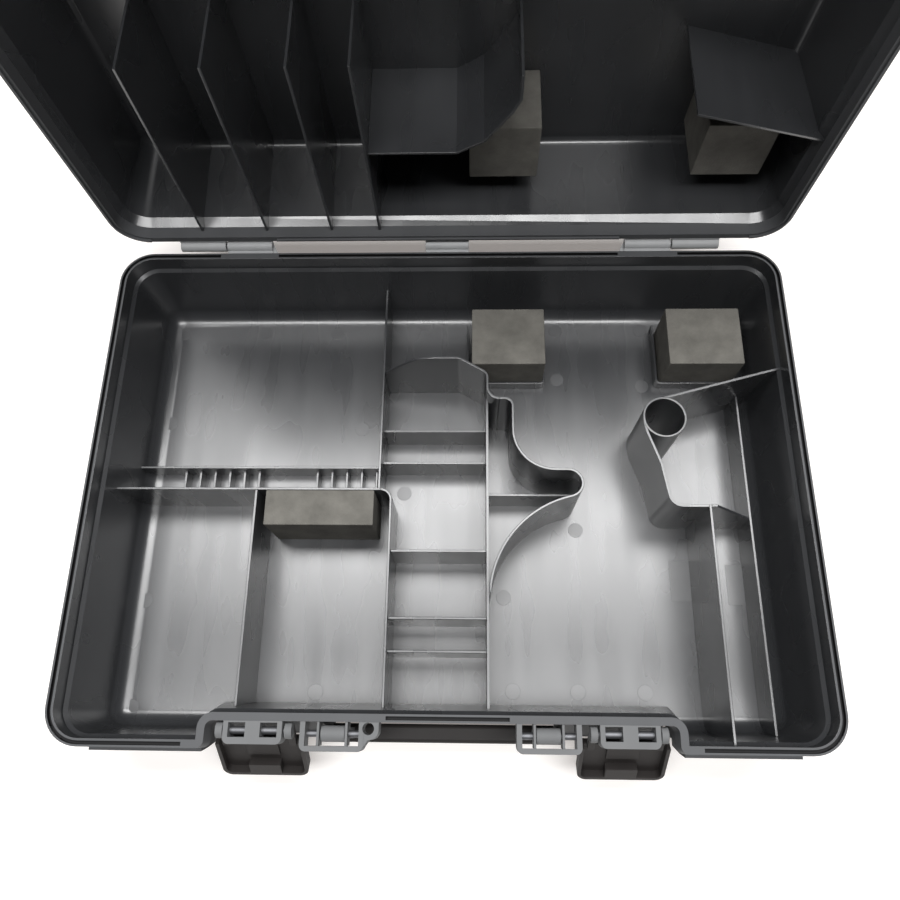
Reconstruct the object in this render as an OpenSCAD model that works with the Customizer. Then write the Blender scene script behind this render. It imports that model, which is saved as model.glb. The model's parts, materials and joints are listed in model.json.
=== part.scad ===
// Hard tool case: moulded tray with compartments, hinged lid, two latches and a folding handle.
// The tray's underside is at z = 0, its middle at x = y = 0, and the front is towards -Y.
// The lid is drawn shut and then turned about the hinge line to where it stands open.

/* [Case] */
// Width of the rim, left to right
case_w = 500; // [480:1:540]
// Depth of the rim, front to back
case_d = 356; // [340:1:390]
// Height of the tray, underside to rim
base_h = 80; // [74:1:110]
// Height of the lid, rim to outside of the panel
lid_h = 84; // [76:1:120]
// Radius of the rim's four corners
corner_r = 24; // [18:1:32]
// Thickness of the tray floor and the lid panel
floor_t = 3; // [2:0.5:5]
// Thickness of the side walls
wall_t = 2.6; // [2:0.2:3.6]
// How far each side wall leans in over its height
lean = 5; // [2:0.5:7]
// Angle that the open lid makes with the shut one
lid_angle = 90; // [85:1:95]

/* [Rim] */
// Width of the rim face
rim_w = 5; // [4.6:0.2:7]
// Height of the straight band under the rim
rim_band = 13; // [12:1:18]
// Step from the band in to the tray wall
tray_step = 2.4; // [1:0.2:4]
// Height of the straight band under the lid's rim
lid_band = 9.3; // [8:0.1:12]
// Height of the slope between that band and the lid wall
lid_slope = 6.7; // [4:0.1:8]
// Step from the band in to the lid wall
lid_step = 3.4; // [3:0.1:5]
// Gap between the two rims when the lid is shut
rim_gap = 0.5; // [0.3:0.1:1]
// Width of the sealing groove in the tray's rim
groove_w = 2.3; // [1.8:0.1:2.6]
// Depth of the sealing groove
groove_d = 3; // [2:0.5:5]
// Wall left outside the groove
groove_lip = 1.3; // [1:0.1:1.6]
// Clearance of the lid's tongue in the groove, each side
tongue_gap = 0.5; // [0.4:0.1:0.7]

/* [Front recess] */
// Width of the recess for latches and handle
recess_w = 294; // [288:1:320]
// Depth of the recess behind the front face
recess_d = 16.4; // [16:0.2:22]
// Radius of the recess's corners
recess_r = 4.5; // [3:0.5:6]

/* [Stiffening bands] */
// How far the bands on the outer walls stand out past the rim
band_out = 2.5; // [1:0.5:6]
// Height of the bands
band_h = 40; // [20:1:50]
// Drop from the rim to the top of the bands
band_drop = 17; // [15:1:22]

/* [Hinges] */
// Distance from the rear face of the rim back to the hinge line
hinge_back = 6.2; // [5.5:0.1:8]
// Outside radius of the hinge knuckles
knuckle_r = 4; // [3.4:0.1:4.4]
// Radius of the hinge pins
hinge_pin_r = 1.5; // [1:0.1:2]
// Running clearance around every pin
pin_gap = 0.05; // [0.03:0.01:0.08]
// Place of each tray knuckle, nearer end from the middle
base_knuckle_x = 134.8; // [120:0.2:150]
// Length of each tray knuckle
base_knuckle_l = 34.5; // [25:0.5:40]
// Length of each lid knuckle
lid_knuckle_l = 35; // [25:0.5:40]
// Gap between a tray knuckle and its lid knuckle
knuckle_gap = 1.2; // [0.4:0.1:1.5]
// Length of the middle knuckle
mid_knuckle_l = 33; // [25:1:45]

/* [Latches] */
// Distance of each latch ear's middle from the case's middle
latch_x = 116.9; // [114:0.1:120]
// Width of the latch ears
ear_w = 37; // [34:0.5:38]
// How far the latch ears stand out of the recess
ear_reach = 13.7; // [13:0.1:15]
// Distance of the latch pin in front of the recess wall
latch_pin_y = 5.6; // [5.4:0.1:6.2]
// Drop from the rim to the latch pin
latch_pin_z = 6.5; // [6:0.1:7]
// Radius of the latch pins
latch_pin_r = 2.4; // [1.5:0.1:2.6]
// Width of the windows in the ears
window_w = 10.7; // [8:0.1:11]
// Bar left at the ears' front and at their sides
window_edge = 3.1; // [2.8:0.1:4]
// How far the panels below the latch ears stand out of the recess at their foot
panel_out = 8; // [5:0.5:9]
// Height of that foot above the underside
panel_foot = 8; // [6:1:20]
// Clearance of those panels beside the handle's arms
panel_gap = 2.3; // [2:0.1:4]
// Width of the latch levers
lever_w = 57; // [52:1:58]
// Length of the levers from pin to tip
lever_l = 50; // [46:1:60]
// Depth of the levers' tray
lever_d = 8; // [7:0.5:9]
// Thickness of the levers' walls
lever_t = 2.5; // [2:0.5:3]
// Outside radius of the corners at the levers' tips
lever_corner = 6.5; // [5:0.5:8]
// Width of the levers' claws
claw_w = 21; // [16:1:28]
// Angle that an open lever hangs forward of straight down
lever_hang = 35; // [20:1:45]
// Thickness of the levers' arms
arm_t = 4.5; // [3:0.5:4.5]
// Side clearance between an arm and its ear
arm_gap = 1; // [0.4:0.1:1.2]

/* [Handle] */
// Distance of each handle pocket's middle from the case's middle
pocket_x = 67.2; // [64:0.1:68]
// Width of the handle pockets
pocket_w = 40; // [38:0.2:41]
// How far the handle pockets stand out of the recess
pocket_reach = 17.4; // [17:0.2:20]
// Thickness of the pocket walls
pocket_t = 3.3; // [3:0.1:4]
// Width of a handle arm
handle_arm_w = 15; // [12:0.5:16]
// Thickness of the two ribs that carry the handle's axle
rib_t = 1.5; // [1.2:0.1:2.4]
// Side clearance of a handle arm
handle_gap = 0.6; // [0.4:0.1:1]
// Drop from the rim to the handle's axle
handle_axle_z = 8; // [8:0.1:9]
// Radius of the handle's axles
handle_axle_r = 2.2; // [1.5:0.1:2.6]
// Length of the handle's arms, axle to grip
handle_l = 40; // [34:1:48]
// Thickness of the grip, front to back
grip_t = 12; // [8:0.5:12]
// Radius of the padlock hole
padlock_r = 3.6; // [2.5:0.1:3.8]
// Distance of that hole's middle from the left handle pocket
padlock_gap = 2.6; // [2.4:0.1:4]

/* [Dividers] */
// Thickness of the upright dividers
div_t = 1.8; // [1.4:0.1:2.4]
// Height of the tall dividers above the floor
tall_h = 64; // [50:1:66]
// Height of the middle dividers
mid_h = 47; // [40:1:50]
// Height of the divider behind the cross wall
rear_h = 38; // [32:1:40]
// Height of the low dividers
low_h = 28; // [22:1:32]
// Height of the comb wall
comb_h = 18; // [12:1:22]
// Height of the comb's ribs
comb_rib_h = 12; // [8:1:16]
// Distance between comb ribs
comb_pitch = 11.6; // [11:0.1:11.8]
// Place of the cross wall behind the middle
cross_y = -2; // [-6:1:2]
// Place of the comb wall behind the middle
comb_y = 23.5; // [20:0.5:28]
// Distance of the front left divider from the case's left face
left_gap = 112; // [109:1:116]
// Place of the divider behind the cross wall
rear_x = -49.5; // [-51:0.5:-48.5]
// Place of the centre tray's left wall
centre_l = -39.5; // [-40:0.5:-36]
// Place of the centre tray's right wall
centre_r = 30.5; // [30:0.1:31]
// Radius of the bend where the cross wall turns forward
bend_r = 8; // [7:0.5:8]
// Place of the rear pocket's back wall
pocket_y = 95.4; // [92:0.2:97]
// Outside radius of the round holder
tube_r = 15.6; // [14:0.2:16]
// Wall of the round holder
tube_t = 1.6; // [1.2:0.1:2]
// Distance of the round holder's middle from the case's right face
tube_gap = 92; // [90:0.5:94]
// Place of the round holder, behind the middle
tube_y = 47.7; // [46:0.1:50]
// Distance of the right-hand divider from the case's right face
right_gap = 66; // [62:0.5:70]
// Distance of the low right-hand divider from the case's right face
side_gap = 26.6; // [24:0.2:30]
// Distance of the sloping wall in front of the round holder's middle
ramp_drop = 66; // [60:0.5:70]
// Distance from the rear pocket's back wall to where its side wall bends right
pocket_run = 24.2; // [22:0.2:26]
// Place of the first cross piece behind the middle
rung_1_y = 50; // [44:0.5:56]
// Place of the second cross piece behind the middle
rung_2_y = 24.1; // [20:0.5:30]
// Place of the third cross piece in front of the middle
rung_3_y = 46.6; // [40:0.5:52]
// Place of the fourth cross piece in front of the middle
rung_4_y = 93.6; // [88:0.5:98]
// Place of the fifth cross piece in front of the middle
rung_5_y = 116; // [110:0.5:124]
// Height of the three front cross pieces
rung_h = 43; // [34:1:46]

/* [Curved wall] */
// How far the wall steps out before the hollow
step_out = 18.4; // [16:0.2:20]
// Radius of the bend where it steps out
step_r = 6; // [4:0.1:7]
// Radius of the bend before it
step_in_r = 8.6; // [7:0.1:10]
// Radius of the hollow
curve_r = 30; // [26:0.5:33]
// Distance of the hollow's centre in front of the rear pocket's back wall
curve_drop = 57.4; // [54:0.2:60]
// Straight run between the hollow and the nose
nose_run = 8.4; // [5:0.2:10]
// Radius of the nose
nose_r = 9.8; // [8:0.2:11]
// Radius of the long sweep back
sweep_r = 74; // [70:0.5:78]

/* [Foam] */
// Width of the two rear foam blocks in the tray
foam_w = 57; // [48:0.5:58]
// Depth of the two rear foam blocks
foam_d = 48; // [40:1:50]
// Height of the two rear foam blocks
foam_h = 42; // [34:1:58]
// Place of the left of them, left edge
foam_left_x = 19; // [18:0.5:22]
// Distance of the right one's left edge from the case's right face
foam_right_gap = 78.6; // [78:0.2:82]
// Place of both, front edge
foam_y = 100.4; // [99.4:0.2:102]
// Gap between the front foam block and the front left divider
front_foam_gap = 6.6; // [2:0.2:14]
// Depth of the front foam block
front_foam_d = 26; // [20:1:30]
// Height of the front foam block
front_foam_h = 48; // [40:1:52]
// Height of the frames around the rear blocks
frame_h = 10; // [8:1:20]
// Gap between a rear block and the left side of its frame
frame_gap = 2.4; // [0.4:0.2:3]
// Distance of the frames' rear ends from the case's rear face
frame_back = 27.2; // [26:0.2:30]
// Side of the foam blocks in the lid
lid_foam_w = 49; // [40:1:50]
// Thickness of the foam blocks in the lid
lid_foam_t = 50; // [40:1:56]
// Place of the foam blocks in the lid, edge towards the front
lid_foam_y = 96; // [95:0.5:102]

/* [Lid inside] */
// Gap between the lid's dividers and its rim plane
fin_drop = 5.6; // [5.4:0.1:9]
// Length of the four rear fins, from the rear face forward
fin_l = 160; // [130:1:164]
// Distance of the first fin from the case's left face
fin_gap = 63.5; // [60:0.5:70]
// Distance between the first fins
fin_pitch = 49.5; // [48:0.5:50]

/* [Hidden] */

body_c = "#46474a";
foam_c = "#7d7b77";
lever_c = "#2b2827";
pin_c = "#7d7f82";

eps = 0.01;
seg = 64;
hw = case_w / 2;
hd = case_d / 2;
floor_z = floor_t;
hinge_y = hd + hinge_back;
hinge_z = base_h + rim_gap / 2;
lid_z = base_h + rim_gap;

// Front recess: its face at the rim, the thinner wall below it, and their inner faces
recess_y = -hd + recess_d;
jog_in = recess_w / 2 + rim_w;

// Places measured from the two side faces
left_x = left_gap - hw;
tube_x = hw - tube_gap;
right_x = hw - right_gap;
side_x = hw - side_gap;
foam_right_x = hw - foam_right_gap;
ramp_y = tube_y - ramp_drop;
front_foam_w = rear_x - 2 - left_x - div_t / 2 - front_foam_gap;
pocket_end = pocket_y - pocket_run;

// Latch and handle axles
latch_y = recess_y - latch_pin_y;
latch_z = base_h - latch_pin_z;
axle_y = recess_y - pocket_reach / 2 + pocket_t / 2;
axle_z = base_h - handle_axle_z;

// Fixed details
foot_r = 6;
slope_h = 2;
groove_x0 = -34;
groove_x1 = 43;
ring_end = 9;
knuckle_end = 5.2;
neck_h = 3.6;
cheek_w = 4.5;
cheek_t = 2;
hub_r = 5;
ear_r = 4;
boss_r = 6.5;
arm_h = 7;
strip_h = 4;
lever_start = 15.5;
catch_z = 27;
pocket_bend = 7;
catch_h = 4;
catch_reach = 8;
claw_gap = 0.6;

// Each half's wall below its rim: height of the straight band, height of the slope, step in
tray_edge = [rim_band, slope_h, tray_step];
lid_edge = [lid_band, lid_slope, lid_step];
function knee(h, e) = h - e[0] - e[1];
function inset(z, h, e) = rim_w + e[2] + lean * (knee(h, e) - z) / (knee(h, e) - floor_t);
function tray_in(z) = z >= base_h - rim_band ? rim_w
    : z >= base_h - rim_band - slope_h
    ? rim_w + tray_step * (base_h - rim_band - z) / slope_h : inset(z, base_h, tray_edge);

// Inner face of the tray wall from the floor up to z1, as inset and height
function tray_line(z1) = let(k = knee(base_h, tray_edge))
    [for (z = z1 > k ? [floor_z, k, z1] : [floor_z, z1]) [tray_in(z), z]];

// Points along an arc
function arc(c, r, a, b, n = 12) = [for (i = [0:n]) let(t = a + (b - a) * i / n)
    c + r * [cos(t), sin(t)]];
function unit(v) = v / norm(v);
function left_of(v) = [-v.y, v.x];
function side_at(p, i) = let(
    a = left_of(unit(p[max(i, 1)] - p[max(i, 1) - 1])),
    b = left_of(unit(p[min(i, len(p) - 2) + 1] - p[min(i, len(p) - 2)])),
    m = unit(a + b)) m / (m * b);
function edge(p, o) = [for (i = [0:len(p) - 1]) p[i] + o * side_at(p, i)];
function flip(p) = [for (i = [len(p) - 1:-1:0]) p[i]];

// Points of the arc that rounds the corner b between a and c
function bend(a, b, c, r, n = 6) = let(
    u = unit(a - b), v = unit(c - b), half = acos(u * v) / 2,
    o = b + unit(u + v) * r / sin(half), p = b + u * r / tan(half) - o,
    q = b + v * r / tan(half) - o, t = atan2(p.y, p.x), turn = atan2(q.y, q.x) - t)
    arc(o, r, t, t + (turn > 180 ? turn - 360 : turn < -180 ? turn + 360 : turn), n);

// A band of even width along a line
module ribbon(p, t) {
    polygon(concat(edge(p, t / 2), flip(edge(p, -t / 2))));
}

// A divider of even thickness that follows a line on the floor
module divider(p, h) {
    translate([0, 0, floor_z]) linear_extrude(h) ribbon(p, div_t);
}

// A flat divider that faces front and back, from an outline in x and z
module facing_front(y, pts, t = div_t) {
    translate([0, y + t / 2, 0]) rotate([90, 0, 0]) linear_extrude(t) polygon(pts);
}

// A flat divider that faces left and right, from an outline in y and z
module facing_side(x, pts, t = div_t) {
    translate([x - t / 2, 0, 0]) rotate([90, 0, 90]) linear_extrude(t) polygon(pts);
}

module round_rect(w, d, r) {
    square([w - 2 * r, d], center = true);
    square([w, d - 2 * r], center = true);
    for (x = [-1, 1], y = [-1, 1])
        translate([x * (w / 2 - r), y * (d / 2 - r)]) circle(r, $fn = seg);
}

module plan(in) {
    round_rect(case_w - 2 * in, case_d - 2 * in, max(corner_r - in, foot_r));
}

module slab(z, in) {
    translate([0, 0, z]) linear_extrude(eps) plan(in);
}

// A flat shape at the front with its two far corners rounded
module tab(x0, x1, y0, y1, r, s = 1) {
    yr = s > 0 ? y1 - r : y0 + r;
    difference() {
        translate([x0, y0]) square([x1 - x0, y1 - y0]);
        for (x = [x0, x1 - r]) translate([x, s > 0 ? yr : y0]) square([r, r]);
    }
    for (x = [x0 + r, x1 - r]) translate([x, yr]) circle(r, $fn = seg);
}

// The front recess seen from above, grown by d towards the inside of the case
module recess_plan(d) {
    half = recess_w / 2 + d;
    tab(-half, half, -case_d, recess_y + d, recess_r + d);
}

module recess_slab(z, d) {
    translate([0, 0, z]) linear_extrude(eps) recess_plan(d);
}

// The front recess below the band of one half, leaning with the side walls
module recess_lean(h, e, d) {
    hull() for (z = [-1, knee(h, e)]) recess_slab(z, inset(z, h, e) + d);
}

// The room inside one half of the case
module room(h, e) {
    difference() {
        union() {
            hull() for (z = [floor_t, knee(h, e)]) slab(z, inset(z, h, e));
            hull() {
                slab(knee(h, e), rim_w + e[2]);
                slab(h - e[0], rim_w);
            }
            translate([0, 0, h - e[0]]) linear_extrude(e[0] + 1) plan(rim_w);
        }
        recess_lean(h, e, 0);
        hull() {
            recess_slab(knee(h, e), rim_w + e[2]);
            recess_slab(h - e[0], rim_w);
        }
        translate([0, 0, h - e[0]]) linear_extrude(e[0] + 2) recess_plan(rim_w);
    }
}

// Raised stiffening bands on the outer walls, leaning in towards the closed side
module bands(h) {
    z1 = h - band_drop;
    z0 = z1 - band_h;
    draft = lean * 1.2;
    x1 = hw + band_out;
    y1 = hd + band_out;
    wing_0 = recess_w / 2 + foot_r;
    wing_w = hw - corner_r - wing_0;
    facing_front(0, [[draft - x1, z0], [x1 - draft, z0], [x1, z1], [-x1, z1]],
        case_d - 3 * corner_r);
    for (s = [-1, 1]) facing_side(s * (wing_0 + wing_w / 2),
        [[draft - y1, z0], [0, z0], [0, z1], [-y1, z1]], wing_w);
    facing_side(0, [[0, z0], [hd - draft, z0], [hd, z1], [0, z1]], case_w - 4 * corner_r);
}

// One moulded half of the case, standing on its closed side
module half_shell(h, e) {
    outer_top = knee(h, e);
    difference() {
        union() {
            hull() {
                slab(0, inset(floor_t, h, e) - wall_t);
                slab(outer_top, inset(outer_top, h, e) - wall_t);
            }
            translate([0, 0, outer_top - eps]) linear_extrude(h - outer_top + eps) plan(0);
            bands(h);
        }
        translate([0, 0, -1]) linear_extrude(h + 2) union() {
            recess_plan(0);
            for (s = [-1, 1]) side(s) translate([recess_w / 2, -hd]) difference() {
                translate([-1, -1]) square(recess_r + 1);
                translate([recess_r, recess_r]) circle(recess_r, $fn = seg);
            }
        }
        recess_lean(h, e, -wall_t);
        room(h, e);
    }
}

// Ring that the sealing groove or the lid's tongue follows. It stops short of the recess, and
// at the hinges from their inner ends out to x1.
module seal_ring(lip, w, x1) {
    x0 = base_knuckle_x - knuckle_end;
    difference() {
        plan(lip);
        plan(lip + w);
        translate([-jog_in - ring_end, -case_d]) square([2 * (jog_in + ring_end), case_d]);
        for (s = [-1, 1]) side(s) translate([x0, hd - case_d / 4]) square([x1 - x0, case_d]);
    }
    translate([groove_x0 + lip - groove_lip, recess_y + lip])
        square([groove_x1 - groove_x0 - 2 * (lip - groove_lip), w]);
}

// A lying cylinder between two places along x
module rod(x0, x1, y, z, r, n = 48) {
    translate([x0, y, z]) rotate([0, 90, 0]) cylinder(h = x1 - x0, r = r, $fn = n);
}

module block(a, b) {
    translate(a) cube(b - a);
}

// Both sides of the case: the left one is the mirror image of the right one
module side(s) {
    if (s > 0) children();
    else mirror([1, 0, 0]) children();
}

// What is drawn shut, turned to where the open lid stands
module opened() {
    translate([0, hinge_y, hinge_z]) rotate([-lid_angle, 0, 0])
        translate([0, -hinge_y, -hinge_z]) children();
}

module base_shell() {
    color(body_c) difference() {
        half_shell(base_h, tray_edge);
        translate([0, 0, base_h - groove_d]) linear_extrude(groove_d + 1)
            seal_ring(groove_lip, groove_w, base_knuckle_x + base_knuckle_l + knuckle_end);
    }
}

module lid_shell() {
    color(body_c) opened() union() {
        translate([0, 0, lid_z + lid_h]) mirror([0, 0, 1]) half_shell(lid_h, lid_edge);
        translate([0, 0, lid_z - groove_d / 2 - rim_gap / 2])
            linear_extrude(groove_d / 2 + rim_gap / 2 + eps)
            seal_ring(groove_lip + tongue_gap, groove_w - 2 * tongue_gap, hw - corner_r);
    }
}

module base_knuckle(s) {
    x0 = base_knuckle_x;
    x1 = base_knuckle_x + base_knuckle_l;
    color(body_c) side(s) difference() {
        union() {
            rod(x0, x1, hinge_y, hinge_z, knuckle_r);
            block([x0, hd, base_h - neck_h], [x1, hinge_y, base_h]);
            translate([0, 0, base_h - 2 * neck_h]) linear_extrude(neck_h * 1.5)
                polygon([[x0 - cheek_w, hd], [x0 + cheek_t, hd],
                    [x0 + cheek_t, hinge_y + knuckle_r - 1], [x0, hinge_y + knuckle_r - 1]]);
        }
        rod(x0 - 1, x1 + 1, hinge_y, hinge_z, hinge_pin_r + pin_gap);
    }
}

module lid_knuckle(s) {
    x0 = base_knuckle_x + base_knuckle_l + knuckle_gap;
    x1 = x0 + lid_knuckle_l;
    color(body_c) opened() side(s) difference() {
        union() {
            rod(x0, x1, hinge_y, hinge_z, knuckle_r);
            block([x0, hd, lid_z], [x1, hinge_y, lid_z + neck_h]);
        }
        rod(x0 - 1, x1 + 1, hinge_y, hinge_z, hinge_pin_r + pin_gap);
    }
}

module mid_knuckle() {
    color(body_c) union() {
        rod(-mid_knuckle_l / 2, mid_knuckle_l / 2, hinge_y, hinge_z, knuckle_r);
        block([-mid_knuckle_l / 2, hd, base_h - neck_h],
            [mid_knuckle_l / 2, hinge_y, base_h]);
    }
}

module hinge_pin(s) {
    x0 = base_knuckle_x;
    color(pin_c) side(s)
        rod(x0, x0 + base_knuckle_l + knuckle_gap + lid_knuckle_l, hinge_y, hinge_z, hinge_pin_r);
}

module latch_ear(s) {
    y0 = recess_y - ear_reach;
    x0 = latch_x - ear_w / 2;
    x1 = latch_x + ear_w / 2;
    color(body_c) side(s) difference() {
        translate([0, 0, base_h - rim_band]) linear_extrude(rim_band) difference() {
            tab(x0, x1, y0, recess_y, ear_r, -1);
            for (x = [x0 + window_edge, x1 - window_edge - window_w])
                translate([x, y0 + window_edge + 1])
                    square([window_w, ear_reach - window_edge - 2]);
        }
        rod(x0 - 1, x1 + 1, latch_y, latch_z, latch_pin_r + pin_gap);
    }
}

module latch_pin(s) {
    reach = ear_w / 2 + arm_gap + arm_t;
    color(pin_c) side(s) rod(latch_x - reach, latch_x + reach, latch_y, latch_z, latch_pin_r);
}

module handle_pocket(s) {
    x0 = pocket_x - pocket_w / 2;
    x1 = pocket_x + pocket_w / 2;
    y0 = recess_y - pocket_reach;
    z0 = base_h - rim_band;
    inner = handle_arm_w / 2 + handle_gap;
    color(body_c) difference() {
        side(s) intersection() {
            union() {
                block([x0, y0, z0], [x0 + pocket_t, recess_y, base_h]);
                block([x1 - pocket_t, y0, z0], [x1, recess_y, base_h]);
                block([x0, y0, base_h - strip_h], [x1, y0 + pocket_t, base_h]);
                for (x = [pocket_x - inner - rib_t, pocket_x + inner])
                    block([x, y0 + pocket_t, z0], [x + rib_t, recess_y, base_h - 1]);
            }
            translate([0, 0, z0]) linear_extrude(rim_band) tab(x0, x1, y0, recess_y, ear_r, -1);
        }
        side(s) rod(x0 + pocket_t / 2, x1 - pocket_t / 2, axle_y, axle_z,
            handle_axle_r + pin_gap);
        padlock_hole();
    }
}

// The padlock hole, beside the left handle pocket
padlock_at = [padlock_gap + pocket_w / 2 - pocket_x, recess_y - padlock_r - 0.3];
module padlock_hole() {
    translate([padlock_at.x, padlock_at.y, 0]) cylinder(h = case_d, r = padlock_r, $fn = 48);
}

module handle_axle(s) {
    reach = pocket_w / 2 - pocket_t / 2 - pin_gap;
    color(pin_c) side(s) rod(pocket_x - reach, pocket_x + reach, axle_y, axle_z, handle_axle_r);
}

module padlock_boss() {
    x0 = pocket_w / 2 - pocket_x;
    x1 = padlock_at.x + boss_r;
    y0 = padlock_at.y - boss_r;
    color(body_c) difference() {
        translate([0, 0, base_h - rim_band]) linear_extrude(rim_band) union() {
            intersection() {
                translate([x0, y0]) square([x1 - x0, recess_y - y0]);
                tab(2 * x0 - x1, x1, y0, recess_y, boss_r - 1, -1);
            }
            polygon([[x0, y0 - ear_r], [x0, y0], [x0 + padlock_gap, y0]]);
        }
        padlock_hole();
    }
}

// Closed panel below a latch ear, sloping out from the rim's band to the foot of the recess
module ear_panel(s) {
    x0 = pocket_x + handle_arm_w / 2 + panel_gap;
    x1 = recess_w / 2 - foot_r;
    z0 = panel_foot;
    z1 = knee(base_h, tray_edge);
    y0 = recess_y - panel_out;
    back = recess_y - wall_t;
    color(body_c) side(s) {
        facing_side((x0 + x1) / 2, [[recess_y, z1], [y0, z0], [y0 + wall_t, z0],
            [recess_y + wall_t, z1]], x1 - x0);
        facing_side((x0 + x1) / 2, [[y0, z0], [back + tray_in(z0), z0],
            [back + tray_in(z0 + wall_t), z0 + wall_t], [y0, z0 + wall_t]], x1 - x0);
        for (x = [x0 + wall_t / 2, x1 - wall_t / 2])
            facing_side(x, [[recess_y, z1], [y0, z0], [back + tray_in(z0), z0],
                [back + tray_in(z1), z1]], wall_t);
    }
}

// Cross wall: from the left wall to where it bends forward
module cross_wall() {
    z1 = floor_z + mid_h;
    color(body_c) facing_front(cross_y, concat(
        [[centre_l - bend_r, z1], [centre_l - bend_r, floor_z]],
        [for (p = tray_line(z1)) [p.x - hw, p.y]]));
}

module comb_wall() {
    z1 = floor_z + comb_h;
    x1 = rear_x - div_t / 2;
    color(body_c) facing_front(comb_y, concat([[x1, z1], [x1, floor_z]],
        [for (p = tray_line(z1)) [p.x - hw, p.y]]));
}

module comb_ribs() {
    left_count = 6;
    right_count = 5;
    gap = 5.4;
    xs = concat([for (i = [0:left_count - 1]) left_x - 9 - i * comb_pitch],
        [for (i = [0:right_count - 1]) rear_x - gap - i * comb_pitch]);
    color(body_c) for (x = xs)
        block([x - div_t / 2, cross_y + div_t / 2, floor_z],
            [x + div_t / 2, comb_y - div_t / 2, floor_z + comb_rib_h]);
}

// A divider that runs forward from y1 to the leaning wall of the recess
module front_run(x, y1, h) {
    facing_side(x, concat([[y1, floor_z + h], [y1, floor_z]],
        [for (p = tray_line(floor_z + h)) [recess_y + p.x, p.y]]));
}

module front_left_wall() {
    color(body_c) front_run(left_x, cross_y - div_t / 2, mid_h);
}

module rear_left_wall() {
    y0 = cross_y + div_t / 2;
    z1 = floor_z + rear_h;
    color(body_c) facing_side(rear_x, concat([[y0, z1], [y0, floor_z]],
        [for (p = tray_line(z1)) [hd - p.x, p.y]]));
}

module centre_wall_left() {
    c = [centre_l - bend_r, cross_y - bend_r];
    color(body_c) union() {
        divider(concat(arc(c, bend_r, 90, 0), [[centre_l, c.y - 2 * div_t]]), mid_h);
        front_run(centre_l, c.y, mid_h);
    }
}

module centre_wall_right() {
    color(body_c) difference() {
        front_run(centre_r, pocket_end, mid_h);
        pocket_line();
    }
}

// Cross pieces of the centre tray
module rung(y, x0, h) {
    color(body_c) block([x0 + div_t / 2, y - div_t / 2, floor_z],
        [centre_r - div_t / 2, y + div_t / 2, floor_z + h]);
}

// Line of the rear pocket's wall: straight, slanting forward, then bending right
slant = [0.87, -0.52] * pocket_run;
module pocket_line() {
    a = [rear_x + div_t / 2, pocket_y];
    b = [centre_r - slant.x, pocket_y];
    c = b + slant;
    d = [centre_r, pocket_end];
    divider(concat([a], bend(a, b, c, pocket_bend), bend(b, c, d, pocket_bend),
        arc(d + [step_in_r, 0], step_in_r, 180, 270, 8)), tall_h);
}

module rear_pocket_wall() {
    x0 = rear_x + div_t / 2;
    rise_x = 1.6 * pocket_run;
    drop = tall_h - rear_h;
    color(body_c) intersection() {
        pocket_line();
        facing_front(0, [[x0, 0], [case_w, 0], [case_w, floor_z + tall_h],
            [x0 + rise_x, floor_z + tall_h], [x0 + rise_x * 0.7, floor_z + tall_h - drop * 0.1],
            [x0 + rise_x * 0.4, floor_z + tall_h - drop * 0.43], [x0, floor_z + rear_h]],
            case_d);
    }
}

// Curved divider: a step out, a hollow, a round nose and a long sweep back
curve_at = [centre_r + step_out + curve_r, pocket_y - curve_drop];
nose_at = curve_at + [nose_run, -curve_r - nose_r];

module curved_wall() {
    start = [centre_r, pocket_end] + step_in_r * [1, -1];
    bend_at = [curve_at.x - curve_r - step_r, start.y - step_r];
    sweep = [centre_r + 1.013 * sweep_r, nose_at.y - 1.107 * sweep_r];
    color(body_c) difference() {
        divider(concat([start],
            arc(bend_at, step_r, 90, 0, 6),
            arc(curve_at, curve_r, 180, 270),
            arc(nose_at, nose_r, 90, -72),
            arc(sweep, sweep_r, 107.5, 176, 16)), tall_h);
        block([centre_r - case_w, -hd, 0], [centre_r + div_t / 2, hd, base_h]);
    }
}

module curved_wall_web() {
    y = nose_at.y + div_t / 2;
    color(body_c) block([centre_r + div_t / 2, y - div_t / 2, floor_z],
        [nose_at.x + nose_r - div_t / 2 - 0.1, y + div_t / 2, floor_z + low_h]);
}

module tube_rod(r) {
    translate([tube_x, tube_y, floor_z]) cylinder(h = tall_h, r = r, $fn = 64);
}

module round_holder() {
    color(body_c) difference() {
        tube_rod(tube_r);
        translate([0, 0, 1]) tube_rod(tube_r - tube_t);
        translate([0, 0, -1]) tube_rod(tube_r - tube_t);
    }
}

// How much the wall behind the round holder runs back for each millimetre to the right
rear_slope = 0.272;
function rear_wall_y(x) = tube_y + tube_r - div_t / 2 + rear_slope * (x - tube_x);

module holder_rear_wall() {
    color(body_c) difference() {
        intersection() {
            divider([[tube_x, rear_wall_y(tube_x)], [hw, rear_wall_y(hw)]], tall_h);
            room(base_h, tray_edge);
        }
        tube_rod(tube_r);
    }
}

module holder_front_wall() {
    turn_r = 0.58 * tube_r;
    color(body_c) difference() {
        divider(concat([[tube_x - 0.95 * tube_r, tube_y - 0.19 * tube_r],
            [tube_x - 0.86 * tube_r, tube_y - 0.7 * tube_r],
            [tube_x - 0.333 * tube_r, tube_y - 2.24 * tube_r]],
            arc([tube_x + 0.487 * tube_r, ramp_y + turn_r], turn_r, 190, 270, 6),
            [[right_x - div_t / 2, ramp_y]]), tall_h);
        tube_rod(tube_r);
    }
}

module right_wall() {
    z1 = floor_z + tall_h;
    y1 = ramp_y + div_t / 2;
    color(body_c) facing_side(right_x, concat([[y1, z1], [y1, floor_z]],
        [for (p = tray_line(z1)) [p.x - hd, p.y]]));
}

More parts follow.
